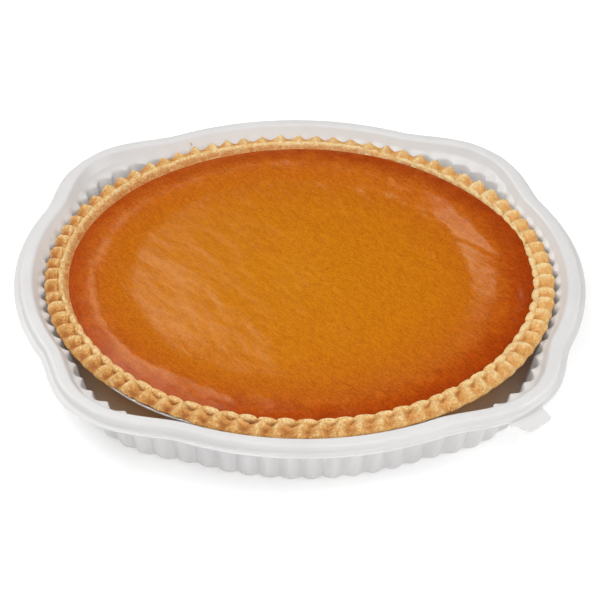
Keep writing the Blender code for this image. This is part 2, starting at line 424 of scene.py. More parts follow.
def thermoformed_white_plastic():
    material, tree, place = new_material("thermoformed_white_plastic")
    peel = add_node(tree, "ShaderNodeTexNoise", {"Vector": place, "Scale": per_metre(PEEL_MM), "Detail": 2.0})
    haze = add_node(tree, "ShaderNodeTexNoise", {"Vector": place, "Scale": per_metre(HAZE_MM), "Detail": 2.0})
    tint = add_node(tree, "ShaderNodeValToRGB", {"Fac": haze.outputs["Fac"]},
                    stops=[(0.35, "#dcdada"), (0.65, "#e0dfde")])
    flat = add_node(tree, "ShaderNodeVectorMath", {0: place, 1: (1.0, 1.0, 0.0)}, operation="MULTIPLY")
    radius = add_node(tree, "ShaderNodeVectorMath", {0: flat.outputs["Vector"]}, operation="LENGTH")
    height = add_node(tree, "ShaderNodeSeparateXYZ", {"Vector": place})
    near = add_node(tree, "ShaderNodeMapRange", {
        "Value": radius.outputs["Value"], "From Min": WARM_BOUNCE_FROM, "From Max": WARM_BOUNCE_TO, "To Min": 1.0, "To Max": 0.3})
    low = add_node(tree, "ShaderNodeMapRange", {
        "Value": height.outputs["Z"], "From Min": 2.0 * MM, "From Max": WARM_BOUNCE_TOP, "To Min": 1.0, "To Max": 0.0})
    face = add_node(tree, "ShaderNodeNewGeometry")
    outwards = add_node(tree, "ShaderNodeVectorMath", {
        0: place, 1: face.outputs["Normal"]}, operation="DOT_PRODUCT")
    inside = add_node(tree, "ShaderNodeMapRange", {
        "Value": outwards.outputs["Value"], "From Min": 0.01, "From Max": 0.05, "To Min": 1.0, "To Max": 0.0})
    near_and_low = add_node(tree, "ShaderNodeMath", {
        0: near.outputs["Result"], 1: low.outputs["Result"]}, operation="MULTIPLY")
    painted_bounce = add_node(tree, "ShaderNodeMath", {
        0: near_and_low.outputs["Value"], 1: inside.outputs["Result"]}, operation="MULTIPLY")
    # painted bounce light: tan colour low on the inside near the tin, standing in for warm light off the crust
    bounce_tinted = add_node(tree, "ShaderNodeMix", {
        "Factor": painted_bounce.outputs["Value"], "A": tint.outputs["Color"], "B": linear("#dfb183")}, data_type="RGBA")
    gloss = add_node(tree, "ShaderNodeMapRange", {
        "Value": haze.outputs["Fac"], "From Min": 0.3, "From Max": 0.7, "To Min": 0.36, "To Max": 0.46})
    bump = add_node(tree, "ShaderNodeBump", {
        "Height": peel.outputs["Fac"], "Strength": 0.12, "Distance": 0.03 * MM})
    shader = add_node(tree, "ShaderNodeBsdfPrincipled", {
        "Base Color": bounce_tinted.outputs["Result"], "Roughness": gloss.outputs["Result"],
        "IOR": 1.49, "Subsurface Weight": 0.2, "Subsurface Scale": 4.0 * MM,
        "Subsurface Radius": (1.0, 0.95, 0.9), "Normal": bump.outputs["Normal"]})
    finish_material(tree, shader)
    return material


make_tray(thermoformed_white_plastic())

# %% [markdown]
# ## Foil tin
# The tin is pressed from thin foil. The press gathers the spare foil of the wall into small pleats,
# and the edge is rolled into a bead that kinks wherever the pie was lifted. A turned section makes
# the pan in one spin, and then its points are moved in and out to pleat the wall and dent the bead.

# %% Tin shape
TIN_BASE_RADIUS = 122.0
TIN_SHOULDER = 144.0
TIN_FLOOR = 1.3
FOIL = 0.3
BEAD = 0.75
PLEAT_COUNT = 150
PLEAT_DEPTH = 0.35
BULGE_ANGLE = math.radians(-127.0)
BULGE_HALF_WIDTH = math.radians(24.0)
BULGE_REACH = 1.5
TIN_STEPS = 900


def tin_section():
    """Half section from the middle of the underside, round the rolled edge, to the middle inside."""
    bead_x = TIN_RADIUS - BEAD
    bead_z = TIN_TOP - BEAD
    turns = [math.radians(-90.0 + 30.0 * step) for step in range(9)]
    bead = [(bead_x + BEAD * math.cos(turn), bead_z + BEAD * math.sin(turn)) for turn in turns]
    wall = [share / 6.0 for share in range(7)]
    run = TIN_SHOULDER - TIN_BASE_RADIUS
    rise = TIN_TOP - FOIL - TIN_FLOOR
    outside = [(TIN_BASE_RADIUS + run * share, TIN_FLOOR + rise * share) for share in wall]
    inside = [(x - 1.2 * FOIL, z + FOIL) for x, z in reversed(outside)]
    return [(0.0, TIN_FLOOR)] + outside + bead + inside + [(0.0, TIN_FLOOR + FOIL)]


def crumple(co):
    """Move a point of the tin: pleats on the wall, kinks and one bulge on the rolled edge."""
    radius, angle, height = co.to_2d().length / MM, math.atan2(co.y, co.x), co.z / MM
    up = min(max((height - TIN_FLOOR) / (TIN_TOP - TIN_FLOOR), 0.0), 1.0)
    on_wall = 4.0 * up * (1.0 - up)
    pleat = PLEAT_DEPTH * on_wall * math.cos(PLEAT_COUNT * angle + 1.5 * noise.noise(co * 60.0))
    on_edge = max(0.0, (radius - TIN_SHOULDER) / (TIN_RADIUS - TIN_SHOULDER))
    kink = 0.35 * on_edge * noise.noise(Vector((60.0 * math.cos(angle), 60.0 * math.sin(angle), 3.0)))
    turn = math.remainder(angle - BULGE_ANGLE, 2.0 * math.pi) / BULGE_HALF_WIDTH
    bulge = BULGE_REACH * on_edge * math.cos(0.5 * math.pi * turn) ** 2 if abs(turn) < 1.0 else 0.0
    return polar(radius + pleat + kink + bulge, angle, height + 0.6 * kink)


def make_tin(material):
    bm = bmesh.new()
    points = [bm.verts.new((x * MM, 0.0, z * MM)) for x, z in tin_section()]
    edges = [bm.edges.new(pair) for pair in zip(points, points[1:])]
    bmesh.ops.spin(bm, geom=points + edges, cent=(0.0, 0.0, 0.0), axis=(0.0, 0.0, 1.0),
                   angle=2.0 * math.pi, steps=TIN_STEPS, use_merge=True)
    bmesh.ops.remove_doubles(bm, verts=bm.verts, dist=0.001 * MM)
    for vert in bm.verts:
        vert.co = crumple(vert.co)
    bmesh.ops.recalc_face_normals(bm, faces=bm.faces)
    return finish_piece("tin_pan", bm, material, "tin")


# %% [markdown]
# Rolled aluminium foil is a bright bare metal. Its colour is all reflection, so what makes it read
# as foil is fine creasing: a cell pattern a couple of millimetres wide tips each facet a little.

# %% Foil material
CREASE_MM = 2.2


def rolled_aluminium_foil():
    material, tree, place = new_material("rolled_aluminium_foil")
    crease = add_node(tree, "ShaderNodeTexVoronoi", {"Vector": place, "Scale": per_metre(CREASE_MM)})
    bump = add_node(tree, "ShaderNodeBump", {
        "Height": crease.outputs["Distance"], "Strength": 0.6, "Distance": 0.25 * MM})
    gloss = add_node(tree, "ShaderNodeMapRange", {
        "Value": crease.outputs["Distance"], "From Min": 0.0, "From Max": 0.8, "To Min": 0.38, "To Max": 0.55})
    shader = add_node(tree, "ShaderNodeBsdfPrincipled", {
        "Base Color": linear("#efeff1"), "Metallic": 1.0, "Roughness": gloss.outputs["Result"],
        "Normal": bump.outputs["Normal"]})
    finish_material(tree, shader)
    return material


make_tin(rolled_aluminium_foil())

# %% [markdown]
# ## Crust: the rope edge
# A crimping roller presses the raw edge into a rope. Seen from above, each twist has two parts: an
# outer pad shaped like a small hipped roof, whose ridge runs inwards, and an inner lobe like a grain
# of rice. A lobe sits at the end of each groove between two pads, so pads and lobes interlock as in a
# braid. Where two swells of dough meet they leave a sharp crease, and the higher one hides the lower.
# So the top is worked out as heights, and the highest of pad, lobe and plain dough wins.

# %% Rope heights along the radius
RIDGE_TOP = [(138.0, 34.4), (139.2, 36.2), (140.6, 37.0), (141.8, 37.5), (142.8, 38.4), (143.8, 39.5),
             (145.2, 40.2), (148.0, 40.4), (150.4, 40.1)]
GROOVE_TOP = [(138.0, 34.4), (139.2, 36.2), (140.6, 36.6), (142.0, 36.2), (143.6, 35.5), (144.6, 35.6),
              (146.0, 36.0), (148.0, 36.1), (150.4, 36.0)]
BAND_TOP = [(138.0, 34.4), (138.4, 35.4), (139.6, 36.6), (141.2, 37.8), (142.6, 38.7), (143.6, 39.3),
            (144.2, 39.1), (144.8, 37.6), (145.3, 36.2), (150.4, 36.0)]
TOP_START = 150.4
RIDGE_FACE = [(151.7, 34.0), (152.4, 33.7), (153.1, 34.0), (153.5, 35.0), (153.4, 36.4), (152.8, 38.0),
              (151.8, 39.4), (TOP_START, 40.1)]
GROOVE_FACE = [(151.6, 34.0), (151.9, 33.6), (152.3, 33.7), (152.5, 34.2), (152.4, 34.8), (152.0, 35.3),
               (151.3, 35.7), (TOP_START, 36.0)]


def along(line, share):
    """Point at a share of the way along a line, on a smooth curve through its points."""
    position = share * (len(line) - 1)
    index = min(int(position), len(line) - 2)
    t = position - index
    a, b, c, d = (Vector(line[min(max(i, 0), len(line) - 1)]) for i in range(index - 1, index + 3))
    return 0.5 * (2.0 * b + (c - a) * t + (2.0 * a - 5.0 * b + 4.0 * c - d) * t * t
                  + (3.0 * b - a - 3.0 * c + d) * t ** 3)


def height_at(line, radius):
    """Height of a line of (radius, height) points at a radius."""
    for (r0, z0), (r1, z1) in zip(line, line[1:]):
        if radius <= r1:
            return z0 + (z1 - z0) * max(0.0, (radius - r0) / (r1 - r0))
    return line[-1][1]


print("ridge over groove at 148 mm:", height_at(RIDGE_TOP, 148.0) - height_at(GROOVE_TOP, 148.0), "mm")

# %% [markdown]
# No two twists of a real crust are alike. Each one gets its own height, place and width, drawn once
# from a seeded generator so that the pie is the same on every run. Along the back and the far left
# the roller hardly marked the inner side, so there the lobes fade into a plain sloping band.

# %% One set of habits per twist
TWIST_COUNT = 80
POINTS_PER_TWIST = 20
ROPE_RING = TWIST_COUNT * POINTS_PER_TWIST
PITCH = 2.0 * math.pi / TWIST_COUNT
Twist = namedtuple("Twist", "height slip skew lobe_height lobe_slip lobe_width")
dice = random.Random(12)
TWISTS = [Twist(dice.uniform(0.80, 1.08), dice.uniform(-0.07, 0.07), dice.uniform(-0.10, 0.10),
                dice.uniform(0.75, 1.15), dice.uniform(-0.10, 0.10), dice.uniform(0.90, 1.12))
          for _ in range(TWIST_COUNT)]
ROLLER_PACE = [(-180.0, -0.08), (-135.0, -0.16), (-90.0, -0.25), (-45.0, -0.28), (0.0, -0.30), (22.0, -0.02),
               (50.0, 0.18), (75.0, 0.0), (92.0, 0.0), (125.0, -0.30), (140.0, -0.20), (160.0, 0.0), (180.0, -0.08)]


def step_up(value, low, high):
    """Smooth step from 0 to 1 as value goes from low to high."""
    share = min(max((value - low) / (high - low), 0.0), 1.0)
    return share * share * (3.0 - 2.0 * share)


def beside(angle, middle, full, fade):
    """1 up to `full` degrees away from a direction, and down to 0 over the next `fade` degrees."""
    turn = abs(math.remainder(math.degrees(angle) - middle, 360.0))
    return 1.0 - step_up(turn, full, full + fade)


def plainness(angle):
    """1 where the inner side of the rope is a plain band, 0 where it has lobes."""
    return beside(angle, 129.0, 55.0, 17.0)


def twist_at(angle):
    """Index of the twist at an angle, and the share of the way across it."""
    turns = (angle / PITCH) % TWIST_COUNT
    index = int(turns + 1e-6) % TWIST_COUNT
    return index, max(turns - index, 0.0) if turns - index < 1.0 else 0.0


print("80 twists, pitch", round(math.degrees(PITCH), 2), "degrees")

# %% [markdown]
# Between two ridges the dough hangs like a sheet between two ropes: the ridges are thin and crisp,
# and the hollow is wide and soft. A lobe is a flattened egg set askew, round towards the filling and
# pointed towards the hollow. Its crest stays a little below the ridges. Along the front the roller
# dragged the dough, so there the ridges lean as they run inwards.

# %% Pads, lobes and band
HOLLOW_ROUNDING = 0.45
RIDGE_ROUNDING = 0.07
PAD_LEAN = 0.30
LOBE_RADIUS = 141.5
LOBE_ASKEW = 0.5
LOBE_HALF_DEPTH = 2.5
LOBE_BASE = 36.6
LOBE_RISE = 2.5


def tent(across, peak):
    """0 in the hollow, 1 on the ridge: a soft hollow and a crisp ridge."""
    side = (across - peak) / (peak if across < peak else 1.0 - peak)
    climb = 1.0 - math.hypot(side, RIDGE_ROUNDING) + RIDGE_ROUNDING
    soft = HOLLOW_ROUNDING
    return (math.hypot(max(climb, 0.0), soft) - soft) / (math.hypot(1.0, soft) - soft)


def pad_at(radius, angle):
    """How far up its ridge a pad is at a place, from 0 in the hollow to 1, and the place's share across."""
    drift = PAD_LEAN * beside(angle, -74.0, 24.0, 20.0) * (1.0 - step_up(radius, 141.0, 150.4))
    index, across = twist_at(angle - PITCH * drift)
    return tent(across, 0.5 + TWISTS[index].skew) * TWISTS[index].height, across


def lobe_fill(radius, angle):
    """How deep a place lies in its lobe: 1 at the crest, 0 on the outline. Also its side and the lobe."""
    index, across = twist_at(angle)
    lobe = TWISTS[index if across < 0.5 else (index + 1) % TWIST_COUNT]
    run = (across if across < 0.5 else across - 1.0) - lobe.lobe_slip
    reach = (radius - LOBE_RADIUS - 2.0 * LOBE_ASKEW * run) / LOBE_HALF_DEPTH
    length = abs(run) / (0.56 * lobe.lobe_width)
    return 1.0 - reach * reach - length ** (1.3 if reach > 0.0 else 2.2), reach, lobe


def lobe_height(radius, angle):
    """Height of the lobe at the hollow nearest to this place."""
    fill, _, lobe = lobe_fill(radius, angle)
    return LOBE_BASE + LOBE_RISE * lobe.lobe_height * math.sqrt(fill) if fill > 0.0 else 0.0


def rope_heights(radius, angle):
    """Height of the pad's surface, and of the lobe or the plain band that lies against it."""
    hollow = height_at(GROOVE_TOP, radius)
    ridge, across = pad_at(radius, angle)
    pad = hollow + (height_at(RIDGE_TOP, radius) - hollow) * ridge
    lobe = lobe_height(radius, angle)
    wave = 0.5 * noise.noise(Vector((9.0 * math.cos(angle), 9.0 * math.sin(angle), 0.0)))
    wave += 0.35 * noise.noise(Vector((45.0 * math.cos(angle), 45.0 * math.sin(angle), 0.1 * radius)))
    bulge = 0.25 * math.cos(2.0 * math.pi * across) * step_up(radius, 140.0, 143.0)
    band = height_at(BAND_TOP, radius + 1.2 * wave + 0.8 * bulge) + (wave + bulge) * step_up(radius, 138.5, 141.0)
    return pad, lobe + (band - lobe) * plainness(angle) if lobe else band * plainness(angle)


print("lobe crest", LOBE_BASE + LOBE_RISE, "mm high")

# %% Rope surface
FACE_ROWS = 11
TOP_ROWS = 31
SWELL = 0.24
GRAIN = 0.14
FLAKY_TWIST = -109.0
FOIL_SHOWS = -126.0


def rope_point(share, angle, on_face):
    """Point of the rope: up its outer face, or inwards over its top, as share goes from 0 to 1."""
    index, across = twist_at(angle)
    this, following = TWISTS[index], TWISTS[(index + 1) % TWIST_COUNT]
    if on_face:
        ridge, _ = pad_at(TOP_START, angle)
        radius, z = along(GROOVE_FACE, share).lerp(along(RIDGE_FACE, share), ridge)
        hem = beside(angle, FOIL_SHOWS, 8.0, 5.0) * (1.0 - step_up(z, 33.6, 36.0))
        radius, z = radius - 0.9 * hem, z + 1.3 * hem
    else:
        radius = TOP_START + (RIDGE_TOP[0][0] - TOP_START) * share
        z = max(rope_heights(radius, angle))
    slip = this.slip + (following.slip - this.slip) * across
    slip += height_at(ROLLER_PACE, math.degrees(angle))
    point = polar(radius, angle + PITCH * slip, z)
    return point + wrinkle(point, angle, share if on_face else 1.0 - share)


def wrinkle(point, angle, clearance):
    """Unevenness of rolled dough: slow swells, a crumbly grain, and rough torn stretches."""
    torn = 0.4 * beside(angle, FLAKY_TWIST, 0.0, 3.0) + 0.12 * beside(angle, -52.0, 14.0, 10.0)
    torn += 0.10 * beside(angle, 120.0, 62.0, 14.0)
    swell = noise.noise_vector(point * 160.0) * SWELL
    grain = noise.noise_vector(point * 700.0) * (GRAIN + torn)
    return (swell + grain) * step_up(clearance, 0.0, 0.15) * MM


def at_rope(share, on_face):
    def place(angle):
        return rope_point(share, angle, on_face)
    return place


print("rope ring has", ROPE_RING, "points in", FACE_ROWS + TOP_ROWS, "rows")

# %% Crust shell
SHELL_FLOOR = FILLING_FLOOR - 0.3
WALL_SLOPE = (TIN_SHOULDER - TIN_BASE_RADIUS) / (TIN_TOP - TIN_FLOOR)


def crust_rings():
    """Rings from the middle of the underside, up the tin's wall, over the rope and down inside."""
    foot = TIN_BASE_RADIUS - 1.2
    shoulder = foot + WALL_SLOPE * (TIN_TOP - CRUST_FLOOR)
    inner_foot = FILLING_RADIUS - WALL_SLOPE * (34.4 - SHELL_FLOOR) + 0.4
    under = [at_circle(60.0, CRUST_FLOOR), at_circle(foot - 1.5, CRUST_FLOOR), at_circle(foot, CRUST_FLOOR + 1.5),
             at_circle(shoulder, TIN_TOP + 0.3), at_circle(151.3, TIN_TOP + 0.3)]
    face = [at_rope(row / (FACE_ROWS - 1.0), True) for row in range(FACE_ROWS)]
    top = [at_rope(row / TOP_ROWS, False) for row in range(1, TOP_ROWS + 1)]
    inside = [at_circle(inner_foot, SHELL_FLOOR + 1.0), at_circle(inner_foot - 2.0, SHELL_FLOOR),
              at_circle(60.0, SHELL_FLOOR)]
    return under + face + top + inside


DEPTH_SPAN = 7.5


def tell_shade_and_stain(bm):
    """Keep on each point the values for painted shade and stain: depth below the crests, creases, hollow ends and
    custard stain.
    """
    turn = bm.verts.layers.float["turn"]
    depth, crease, hollow_end_shade, stain = (bm.verts.layers.float.new(name) for name in ("depth", "crease", "hollow_end_shade", "stain"))
    for vert in bm.verts:
        radius, height, angle = vert.co.to_2d().length / MM, vert.co.z / MM, vert[turn]
        hollow = max(0.0, 1.0 - pad_at(min(radius, TOP_START), angle)[0])
        pad, inner = rope_heights(min(radius, TOP_START), angle)
        plain, on_face = plainness(angle), step_up(radius, TOP_START - 0.6, TOP_START + 0.9)
        # depth below the crests: it drives painted shade, darker the deeper the point lies
        below = min(max((height_at(RIDGE_TOP, radius) - height) / DEPTH_SPAN, 0.0), 1.0)
        if inner > pad:
            below = min(max((39.2 - height) / DEPTH_SPAN, 0.0), 1.0)
        vert[depth] = below + (0.22 + 0.22 * hollow - below) * on_face
        # crease value: painted shadow in the notch before each lobe and along the fold at the foot of the plain band
        fill, reach, _ = lobe_fill(radius, angle)
        notch = max(0.0, 1.0 - abs(fill + 0.15) / 0.45) * (1.0 - plain) if reach > 0.0 else 0.0
        fold = max(0.0, 1.0 - abs(radius - 145.3) / 0.8) * plain
        vert[crease] = (notch + 0.7 * fold) * hollow ** 0.5 * (0.45 + 0.45 * beside(angle, -150.0, 48.0, 25.0))
        # painted shade at the low outer end of each hollow
        outer_end = step_up(radius, 146.2, 149.6) * (1.0 - 0.6 * step_up(radius, 151.0, 152.6))
        vert[hollow_end_shade] = hollow ** 1.5 * outer_end
        band_stain = plain * (1.0 - step_up(radius, 141.0, 142.8))
        vert[stain] = max(band_stain, beside(angle, 40.0, 22.0, 14.0) * (1.0 - step_up(radius, 138.8, 140.2)))


def make_crust(material):
    bm = bmesh.new()
    loft(bm, ROPE_RING, crust_rings())
    tell_shade_and_stain(bm)
    return finish_piece("crust_shell", bm, material, "crust", smooth_angle=75.0)


# %% [markdown]
# ## Crust: baked shortcrust pastry
# Shortcrust bakes unevenly: the left of the pie stood in the hotter side of the oven and is browner.
# The rest of the colour is painted shade. A ramp by depth below the crests keeps the crests the pale
# cream of dough, takes the sides of the pads to golden brown and the deepest parts to dark brown. It adds
# painted shadow in the creases and painted shade at the low outer ends of the hollows, most on the left.
# The values kept on each point drive that. Custard that boiled up has stained the plain band. Flour and
# fat leave the surface dry and matt, with a crumbly grain, and because that grain is as fine as the
# render can show, it is drawn in the colour as well.

# %% Crust material
GRAIN_MM = 1.1
FLAKE_MM = 2.6
BAKE_MM = 7.0
PALE_SIDE = math.radians(25.0)


def baked_shortcrust():
    material, tree, place = new_material("baked_shortcrust_pastry")
    grain = add_node(tree, "ShaderNodeTexNoise", {
        "Vector": place, "Scale": per_metre(GRAIN_MM), "Detail": 3.0, "Roughness": 0.7})
    flakes = add_node(tree, "ShaderNodeTexNoise", {
        "Vector": place, "Scale": per_metre(FLAKE_MM), "Detail": 3.0, "Roughness": 0.6})
    bake = add_node(tree, "ShaderNodeTexNoise", {
        "Vector": place, "Scale": per_metre(BAKE_MM), "Detail": 3.0, "Roughness": 0.6})
    side = add_node(tree, "ShaderNodeVectorMath", {
        0: place, 1: (math.cos(PALE_SIDE), math.sin(PALE_SIDE), 0.0)}, operation="DOT_PRODUCT")
    depth = add_node(tree, "ShaderNodeAttribute", attribute_name="depth")
    crease = add_node(tree, "ShaderNodeAttribute", attribute_name="crease")
    hollow_end_shade = add_node(tree, "ShaderNodeAttribute", attribute_name="hollow_end_shade")
    stain = add_node(tree, "ShaderNodeAttribute", attribute_name="stain")
    grainy = add_node(tree, "ShaderNodeMapRange", {
        "Value": grain.outputs["Fac"], "From Min": 0.35, "From Max": 0.65, "To Min": -0.34, "To Max": 0.34})
    flaky = add_node(tree, "ShaderNodeMapRange", {
        "Value": flakes.outputs["Fac"], "From Min": 0.35, "From Max": 0.65, "To Min": -0.12, "To Max": 0.12})
    oven = add_node(tree, "ShaderNodeMapRange", {
        "Value": side.outputs["Value"], "From Min": -0.15, "From Max": 0.15, "To Min": 0.16, "To Max": -0.02})
    patchy = add_node(tree, "ShaderNodeMapRange", {
        "Value": bake.outputs["Fac"], "From Min": 0.35, "From Max": 0.65, "To Min": -0.10, "To Max": 0.12})
    fine = add_node(tree, "ShaderNodeMath", {0: grainy.outputs["Result"], 1: flaky.outputs["Result"]})
    coarseness = add_node(tree, "ShaderNodeMapRange", {
        "Value": side.outputs["Value"], "From Min": -0.05, "From Max": 0.12, "To Min": 1.0, "To Max": 0.5})
    freckles = add_node(tree, "ShaderNodeMath", {
        0: fine.outputs["Value"], 1: coarseness.outputs["Result"]}, operation="MULTIPLY")
    slow = add_node(tree, "ShaderNodeMath", {0: oven.outputs["Result"], 1: patchy.outputs["Result"]})
    noisy = add_node(tree, "ShaderNodeMath", {0: freckles.outputs["Value"], 1: slow.outputs["Value"]})
    # depth plus oven side, bake patches and grain: the depth part is painted shade, pale on crests and dark in
    # hollows
    depth_shade_and_tone = add_node(tree, "ShaderNodeMath", {0: depth.outputs["Fac"], 1: noisy.outputs["Value"]})
    dough = add_node(tree, "ShaderNodeValToRGB", {"Fac": depth_shade_and_tone.outputs["Value"]}, stops=[
        (0.0, "#fbe0a8"), (0.15, "#f6cf8d"), (0.35, "#eeb970"), (0.60, "#e4a659"), (0.85, "#d28a3e"),
        (1.0, "#b66b27")])
    # painted shade at the hollows' outer ends, weighted towards the left side, with flake noise
    hollow_shade_left_weight = add_node(tree, "ShaderNodeMapRange", {
        "Value": side.outputs["Value"], "From Min": -0.12, "From Max": 0.02, "To Min": 1.1, "To Max": 0.25})
    hollow_end_shading = add_node(tree, "ShaderNodeMath", {
        0: hollow_end_shade.outputs["Fac"], 1: hollow_shade_left_weight.outputs["Result"], 2: flaky.outputs["Result"]}, operation="MULTIPLY_ADD")
    hollow_end_shaded = add_node(tree, "ShaderNodeMix", {
        "Factor": hollow_end_shading.outputs["Value"], "A": dough.outputs["Color"], "B": linear("#b0692a")},
        data_type="RGBA", clamp_factor=True)
    soaked = add_node(tree, "ShaderNodeMath", {
        0: stain.outputs["Fac"], 1: flakes.outputs["Fac"]}, operation="MULTIPLY")
    stained = add_node(tree, "ShaderNodeMix", {
        "Factor": soaked.outputs["Value"], "A": hollow_end_shaded.outputs["Result"], "B": linear("#c46a2c")},
        data_type="RGBA", clamp_factor=True)
    # painted shadow: darken the creases toward dark brown
    crease_shadowed = add_node(tree, "ShaderNodeMix", {
        "Factor": crease.outputs["Fac"], "A": stained.outputs["Result"], "B": linear("#7d3f10")},
        data_type="RGBA", clamp_factor=True)
    bump = add_node(tree, "ShaderNodeBump", {
        "Height": fine.outputs["Value"], "Strength": 0.9, "Distance": 0.5 * MM})
    shader = add_node(tree, "ShaderNodeBsdfPrincipled", {
        "Base Color": crease_shadowed.outputs["Result"], "Roughness": 0.7, "IOR": 1.42,
        "Normal": bump.outputs["Normal"]})
    finish_material(tree, shader)
    return material


pastry = baked_shortcrust()
make_crust(pastry)

# %% [markdown]
# ## Pastry crumbs
# Dry shortcrust sheds crumbs where the roller tore it. Most cling to the foot of the rope along the
# front, one lies on the floor of the tray and one splinter stuck to the back wall. Each is an
# icosphere stretched and roughened by seeded noise, with only a few dozen faces. All of them are one
# piece, because they are one kind of thing, and they share the pastry's material.

# %% Pastry crumbs
Crumb = namedtuple("Crumb", "radius angle height length width")
LOOSE_CRUMBS = [
    Crumb(132.0, -146.2, SHEET + 0.35, 1.5, 0.9), Crumb(129.5, -143.5, SHEET + 0.2, 0.7, 0.5),
    Crumb(158.2, 113.5, 37.4, 2.6, 0.9), Crumb(152.3, -132.0, 35.1, 2.0, 1.4),
    Crumb(153.6, -58.8, 36.3, 3.4, 2.2), Crumb(152.6, -57.4, 36.0, 2.4, 1.8), Crumb(152.8, -54.0, 35.3, 1.8, 1.2),
]
CRUMBLY_STRETCHES = [(-135.0, -113.0, 30), (-70.0, -46.0, 26), (100.0, 128.0, 8)]


def shed_crumbs():
    """Small crumbs along the foot of the rope where it is torn."""
    rng = random.Random(29)
    for start, end, count in CRUMBLY_STRETCHES:
        for _ in range(count):
            size = rng.uniform(0.5, 1.3)
            yield Crumb(rng.uniform(151.2, 152.3), rng.uniform(start, end), rng.uniform(34.9, 36.2),
                        size, size * rng.uniform(0.5, 0.9))


def make_crumbs(material):
    rng = random.Random(31)
    bm = bmesh.new()
    depth = bm.verts.layers.float.new("depth")
    for crumb in LOOSE_CRUMBS + list(shed_crumbs()):
        place = polar(crumb.radius, math.radians(crumb.angle), crumb.height)
        turn = Matrix.Rotation(rng.uniform(0.0, math.pi), 4, "Z") @ Matrix.Rotation(rng.uniform(-0.5, 0.5), 4, "Y")
        if crumb.radius > 157.0:
            turn = Matrix.Rotation(0.45 * math.pi, 4, "Y")
        stretch = Matrix.Diagonal((crumb.length * MM, crumb.width * MM, 0.8 * crumb.width * MM, 1.0))
        made = bmesh.ops.create_icosphere(
            bm, subdivisions=2, radius=0.5, matrix=Matrix.Translation(place) @ turn @ stretch)
        browned = rng.uniform(0.35, 1.1)
        for vert in made["verts"]:
            vert[depth] = browned
            vert.co += noise.noise_vector(vert.co * 1500.0) * 0.2 * crumb.width * MM
    return finish_piece("pastry_crumbs", bm, material, smooth_angle=40.0)


make_crumbs(pastry)

# %% [markdown]
# ## Filling: custard
# Pumpkin custard puffs up along the hot edge while it bakes and then settles, so its face is not
# flat: a low dome in the middle, a shallow trough round it, and a soft raised ring near the crust.
# The swells are only a millimetre or two high, and they show because they catch the softbox. The
# disc is spun from a half section and its top is then lifted by that profile.

# %% Filling shape
FILLING_STEPS = 560
FILLING_ROWS = 104
MIDDLE_LEVEL = 34.9
EDGE_LEVEL = 34.8
DOME_FALL = (56.0, 93.0, -0.1)
RING_RISE = (99.0, 125.0, 2.2)
RING_EXTRA = 1.2
RING_CREST = 126.0
CREST_FARTHER_OUT = 2.5
RING_OUTER_SLOPE = 0.10
CREST_ROUNDING = 3.5
CUSTARD_TUCK = 1.4
FIBRE_TURN = math.radians(55.0)
FIBRE_LENGTHS = 2.5


def custard_height(radius, angle):
    """Height of the custard's face: dome, raised ring and slow unevenness."""
    spot = polar(radius, angle, 0.0)
    combed = Matrix.Rotation(FIBRE_TURN, 3, "Z") @ spot
    combed.x /= FIBRE_LENGTHS
    wander = radius + 3.0 * noise.noise(spot * 22.0) + 2.0 * noise.noise(combed * 60.0)
    height = MIDDLE_LEVEL
    for start, end, rise in (DOME_FALL, RING_RISE):
        height += rise * step_up(wander, start, end)
    height += RING_EXTRA * beside(angle, 40.0, 30.0, 50.0) * step_up(wander, RING_RISE[0], RING_RISE[1])
    past = wander - RING_CREST - CREST_FARTHER_OUT * beside(angle, -145.0, 35.0, 25.0)
    height -= 0.5 * RING_OUTER_SLOPE * (past + math.hypot(past, CREST_ROUNDING))
    wrinkled = 1.0 + 2.0 * beside(angle, 45.0, 35.0, 30.0) * step_up(radius, 55.0, 85.0)
    wrinkled += 1.0 * beside(angle, -145.0, 45.0, 25.0) * step_up(radius, 105.0, 120.0)
    swell = 0.25 * noise.noise(spot * 30.0)
    swell += wrinkled * (0.11 * noise.noise(combed * 90.0) + 0.06 * noise.noise(combed * 220.0))
    return height + swell * (1.0 - step_up(radius, 132.0, 137.0))


def creep(angle):
    """How far up the crust the custard's edge crept on the right-hand side."""
    return 1.3 * beside(angle, 3.0, 12.0, 22.0) + 0.5 * beside(angle, -50.0, 25.0, 30.0)


def filling_section():
    """Half section from the middle of the underside to the middle of the face."""
    foot = FILLING_RADIUS - WALL_SLOPE * (EDGE_LEVEL - FILLING_FLOOR)
    rows = [row / (FILLING_ROWS - 1.0) for row in range(FILLING_ROWS)]
    face = [((FILLING_RADIUS + CUSTARD_TUCK) * (1.0 - share), EDGE_LEVEL) for share in rows]
    return [(0.0, FILLING_FLOOR), (foot - 1.0, FILLING_FLOOR), (foot, FILLING_FLOOR + 1.0)] + face


def make_filling(material):
    bm = bmesh.new()
    points = [bm.verts.new((x * MM, 0.0, z * MM)) for x, z in filling_section()]
    edges = [bm.edges.new(pair) for pair in zip(points, points[1:])]
    bmesh.ops.spin(bm, geom=points + edges, cent=(0.0, 0.0, 0.0), axis=(0.0, 0.0, 1.0),
                   angle=2.0 * math.pi, steps=FILLING_STEPS, use_merge=True)
    bmesh.ops.remove_doubles(bm, verts=bm.verts, dist=0.001 * MM)
    for vert in bm.verts:
        if vert.co.z > 0.9 * EDGE_LEVEL * MM:
            radius, angle = vert.co.to_2d().length / MM, math.atan2(vert.co.y, vert.co.x)
            crept = creep(angle) * step_up(radius, 128.0, 137.6) * (1.0 + 0.5 * noise.noise(vert.co * 130.0))
            vert.co = polar(radius + crept, angle, custard_height(radius, angle) + crept)
    bmesh.ops.recalc_face_normals(bm, faces=bm.faces)
    return finish_piece("custard_filling", bm, material, "filling")


